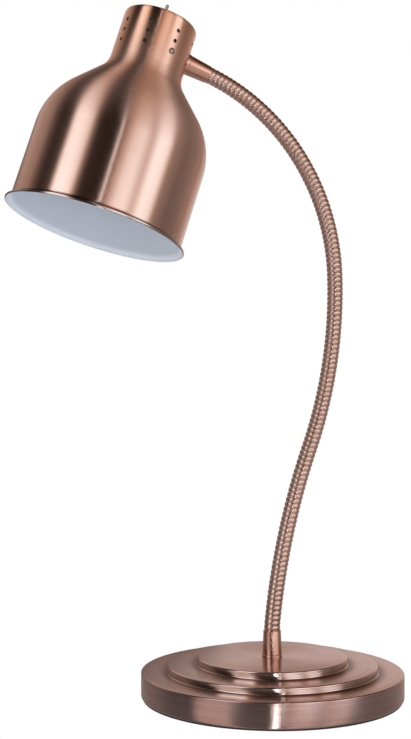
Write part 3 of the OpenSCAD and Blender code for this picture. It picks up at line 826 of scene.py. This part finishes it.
# %% Dress the CAD nodes
FINISH = {
    RUBBER: ["foot_pad", "inlet_grommet"] + [f"lead_{k}" for k in range(1, 10)],
    ZINC: ["base_plate", "nipple_washer", "nipple_nut", "neck_nut", "holder_strap", "holder_screws"],
    IRON: ["base_weight"],
    BRASS: ["base_nipple", "neck_nipple", "holder_shell", "holder_contact", "toggle_terminals"],
    CERAMIC: ["lampholder"],
    CAP_METAL: ["bulb_cap"],
    BLACK_PLASTIC: ["toggle_body"],
    CHROME: ["toggle_nut"],
    SLEEVE: ["switch_wire"],
}
for material, names in FINISH.items():
    for name in names:
        node = nodes[name]
        node.data.materials.clear()
        node.data.materials.append(material)
print("dressed", sum(len(n) for n in FINISH.values()), "CAD nodes")

# %% [markdown]
# ## The floor
# The lamp stands on a plain white floor. The camera sees the floor as white, a mirror ray goes
# through it to the studio, and the light it sends up into the shade is a cool white, a little
# stronger on the left.

# %% Floor
AIM = Vector((0.42052, 0.90728, 0.0))
RIGHT = Vector((0.90728, -0.42052, 0.0))
bpy.ops.mesh.primitive_plane_add(size=14)
floor = bpy.context.object
floor.name = "floor"
floor.data.name = "floor"
floor.location.z = -0.0002
material = bpy.data.materials.new("white floor")
material.use_nodes = True
tree = material.node_tree
tree.nodes.clear()
place = object_point(tree)
across = make_node(tree, "ShaderNodeVectorMath", {"operation": "DOT_PRODUCT"}, out=1,
                   _0=place, _1=tuple(RIGHT))
cool = mix_colour(tree, (0.5 - across / 1.2).between(), (0.72, 0.76, 0.84), (1.02, 1.08, 1.18))
paper = make_node(tree, "ShaderNodeEmission", Color=cool, Strength=1.0)
clear = make_node(tree, "ShaderNodeBsdfTransparent", Color=(1, 1, 1, 1))
white = make_node(tree, "ShaderNodeEmission", Color=(1, 1, 1, 1), Strength=1.0)
ray = tree.nodes.new("ShaderNodeLightPath")
seen, mirrored = Sock(tree, ray.outputs["Is Camera Ray"]), Sock(tree, ray.outputs["Is Glossy Ray"])
unseen = make_node(tree, "ShaderNodeMixShader", _0=mirrored, _1=paper, _2=clear)
both = make_node(tree, "ShaderNodeMixShader", _0=seen, _1=unseen, _2=white)
end = tree.nodes.new("ShaderNodeOutputMaterial")
tree.links.new(both.out, end.inputs["Surface"])
floor.data.materials.append(material)
print("floor laid")

# %% [markdown]
# ## The studio's upright lights
# Brushed copper shows little but what it reflects, so the studio is drawn in the world as upright
# bands, bright and dark, strongest on the camera's side. Each pair below is an angle round the
# lamp, counted from the camera to its right, and the brightness there.

# %% World, the bands
LIGHT_LEAN, LIGHT_TOP = 9.0, 2.6
BANDS = [(-165, 0.6), (-150, 0.6), (-128, 0.44), (-112, 0.36), (-100, 0.14), (-88, 0.04), (-68, 0.06),
         (-60, 1.6), (-34, 1.5), (-27, 0.3), (-21, 0.05), (11.5, 0.05), (15.5, 0.85), (26, 1.55),
         (38, 1.45), (48, 0.75), (58, 1.45), (72, 1.25), (79, 0.36), (100, 0.2), (118, 0.27),
         (136, 0.38), (153, 0.6), (166, 0.75)]
world = bpy.data.worlds.new("studio")
bpy.context.scene.world = world
world.use_nodes = True
tree = world.node_tree
tree.nodes.clear()
direction = Sock(tree, tree.nodes.new("ShaderNodeTexCoord").outputs["Generated"])


def along(v):
    return make_node(tree, "ShaderNodeVectorMath", {"operation": "DOT_PRODUCT"}, out=1,
                     _0=direction, _1=tuple(v))


def ramp(pairs, fac, top=1.0):
    """A grey colour ramp through pairs of position and brightness."""
    stops = [(at, (v / top,) * 3 + (1,)) for at, v in pairs]
    return make_node(tree, "ShaderNodeValToRGB", {"stops": stops}, Fac=fac)


def upright(pairs, top=1.0):
    """A ramp round the lamp: its positions are angles in degrees."""
    return ramp([((a - LIGHT_LEAN + 180) / 360, v) for a, v in pairs], azimuth, top)


up = along(Vector((0, 0, 1)))
high = ((up + 0.17) / 0.17).between()
azimuth = along(RIGHT).math("ARCTAN2", along(-AIM)) / (2 * math.pi) + 0.5 - high * (LIGHT_LEAN / 360)
band = upright(BANDS, LIGHT_TOP)
print("studio bands:", len(BANDS))

# %% [markdown]
# The bands are brightest a little above the horizon and fade above and below it, and the light on
# the left stands taller than the others. High up the light turns warm, the strong lights are
# slightly cool, and the weak ones reddish, as copper things round the lamp would make them.

# %% World, the heights
left = ((0.47 - azimuth) * 8).between()
level = up * 0.5 + 0.5 - left * 0.19
height = ramp([(0.0, 0.22), (0.36, 0.30), (0.43, 0.34), (0.49, 0.95), (0.55, 1.0), (0.61, 0.8),
               (0.69, 0.5), (0.84, 0.22), (1.0, 0.1)], level)
warm_stops = {"stops": [(0.62, (1, 1, 1, 1)), (0.78, (1, 0.75, 0.58, 1))]}
warmth = make_node(tree, "ShaderNodeValToRGB", warm_stops, Fac=level)
light = band * height
strong = (light * 3 - 0.5).between()
tinted = mix_colour(tree, strong, (1.0, 0.76, 0.66), (0.98, 1.06, 1.12))
tinted = mix_colour(tree, 1.0, tinted, warmth, "MULTIPLY")
lit = mix_colour(tree, 1.0, light, tinted, "MULTIPLY")
low_fill = mix_colour(tree, high, (0.036, 0.033, 0.034), (0, 0, 0))
lit = mix_colour(tree, 1.0, lit, low_fill, "ADD")
print("light on the copper ready")

# %% [markdown]
# One thin upright slit of light makes the bright line down the middle of the bell and the skirt.
# The camera itself sees plain white behind the lamp, whatever the studio holds.

# %% World, the slit and the white behind
SLIT_LIGHT = 4.4
slit = upright(((7.6, 0), (8.5, 1), (9.5, 1), (10.4, 0)))
slit_height = ramp([(0.3, 1.0), (0.45, 1.0), (0.49, 0.44), (0.6, 0.32), (0.8, 0.12)], up * 0.5 + 0.5)
lit = mix_colour(tree, 1.0, lit, slit * slit_height * SLIT_LIGHT, "ADD")
studio = make_node(tree, "ShaderNodeBackground", Color=lit, Strength=LIGHT_TOP)
plain = make_node(tree, "ShaderNodeBackground", Color=(1, 1, 1, 1), Strength=1.0)
ray = make_node(tree, "ShaderNodeLightPath")
both = make_node(tree, "ShaderNodeMixShader", _0=ray, _1=studio, _2=plain)
end = tree.nodes.new("ShaderNodeOutputWorld")
tree.links.new(both.out, end.inputs["Surface"])
print("world ready:", len(tree.nodes), "nodes")

# %% [markdown]
# ## The camera
# The camera looks at the lamp from in front and a little to the left, at the height of the stem.
# Its distance and lens come from the shape of the base and the bell's mouth in the photograph.

# %% Camera
camera_data = bpy.data.cameras.new("camera")
camera_data.lens = 63.38
camera_data.sensor_width = 36.0
camera_data.sensor_fit = "AUTO"
camera = bpy.data.objects.new("camera", camera_data)
bpy.context.scene.collection.objects.link(camera)
look = Vector((AIM.x, AIM.y, math.tan(math.radians(0.42)))).normalized()
camera.location = (-0.62753, -1.19050, 0.32718)
camera.rotation_euler = look.to_track_quat("-Z", "Y").to_euler()
bpy.context.scene.camera = camera
bpy.context.scene.view_settings.view_transform = "Standard"
print("camera at", tuple(camera.location))
